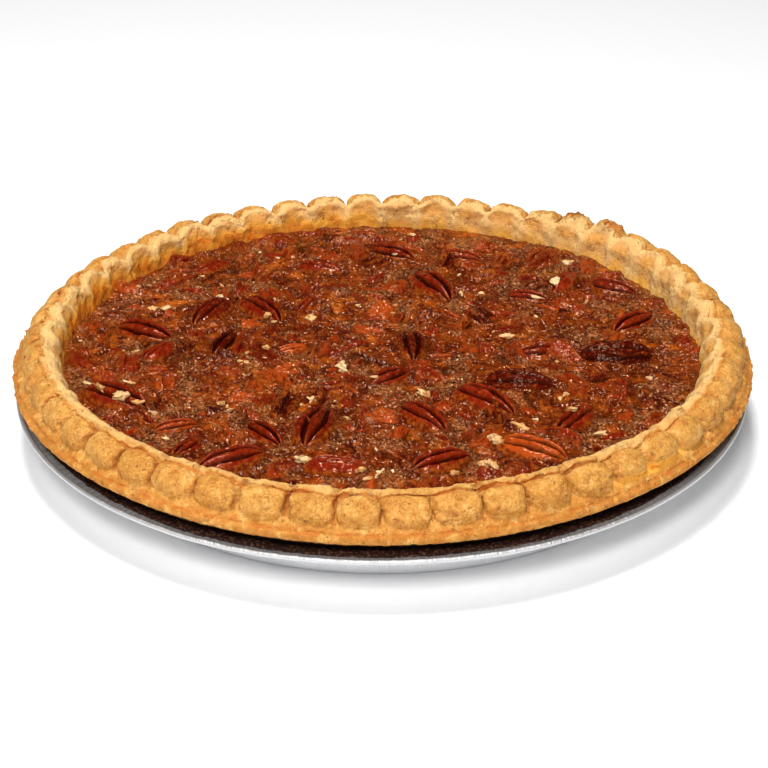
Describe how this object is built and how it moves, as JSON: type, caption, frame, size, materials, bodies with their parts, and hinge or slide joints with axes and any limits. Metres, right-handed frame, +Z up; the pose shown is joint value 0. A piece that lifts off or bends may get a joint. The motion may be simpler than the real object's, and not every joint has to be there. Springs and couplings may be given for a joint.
{
  "type": "pecan pie",
  "caption": "Whole round pecan pie in a shallow foil tin, with a crimped pastry rim, a bumpy set filling and pecan halves half sunk in its top.",
  "frame": {"origin": "centre of the underside of the foil tin", "axes": "+Z up; the front of the pie, towards the viewer of the picture, faces -Y; +X to the right"},
  "size_m": [0.2471, 0.2448, 0.0389],
  "materials": {
    "foil": "bright smooth pressed foil with a crinkled rolled rim",
    "baked_pastry": "matt golden baked pastry, browner in the grooves between the crimps",
    "set_filling": "glossy dark red-brown set custard with chopped nuts and pale crumbs",
    "pecan": "glazed dark red-brown toasted nut with two lengthwise grooves"
  },
  "bodies": {
    "root": {"foil_tin": "foil", "pie_crust": "baked_pastry", "pecan_filling": "set_filling", "pecan_half_01": "pecan", "pecan_half_02": "pecan", "pecan_half_03": "pecan", "pecan_half_04": "pecan", "pecan_half_05": "pecan", "pecan_half_06": "pecan", "pecan_half_07": "pecan", "pecan_half_08": "pecan", "pecan_half_09": "pecan", "pecan_half_10": "pecan", "pecan_half_11": "pecan", "pecan_half_12": "pecan", "pecan_half_13": "pecan", "pecan_half_14": "pecan", "pecan_half_15": "pecan", "pecan_half_16": "pecan", "pecan_half_17": "pecan", "pecan_half_18": "pecan", "pecan_half_19": "pecan", "pecan_half_20": "pecan", "pecan_half_21": "pecan", "pecan_half_22": "pecan", "pecan_half_23": "pecan", "pecan_half_24": "pecan", "pecan_half_25": "pecan", "pecan_half_26": "pecan", "pecan_half_27": "pecan", "pecan_half_28": "pecan", "pecan_half_29": "pecan", "pecan_half_30": "pecan", "pecan_half_31": "pecan", "pecan_half_32": "pecan"}
  },
  "joints": []
}
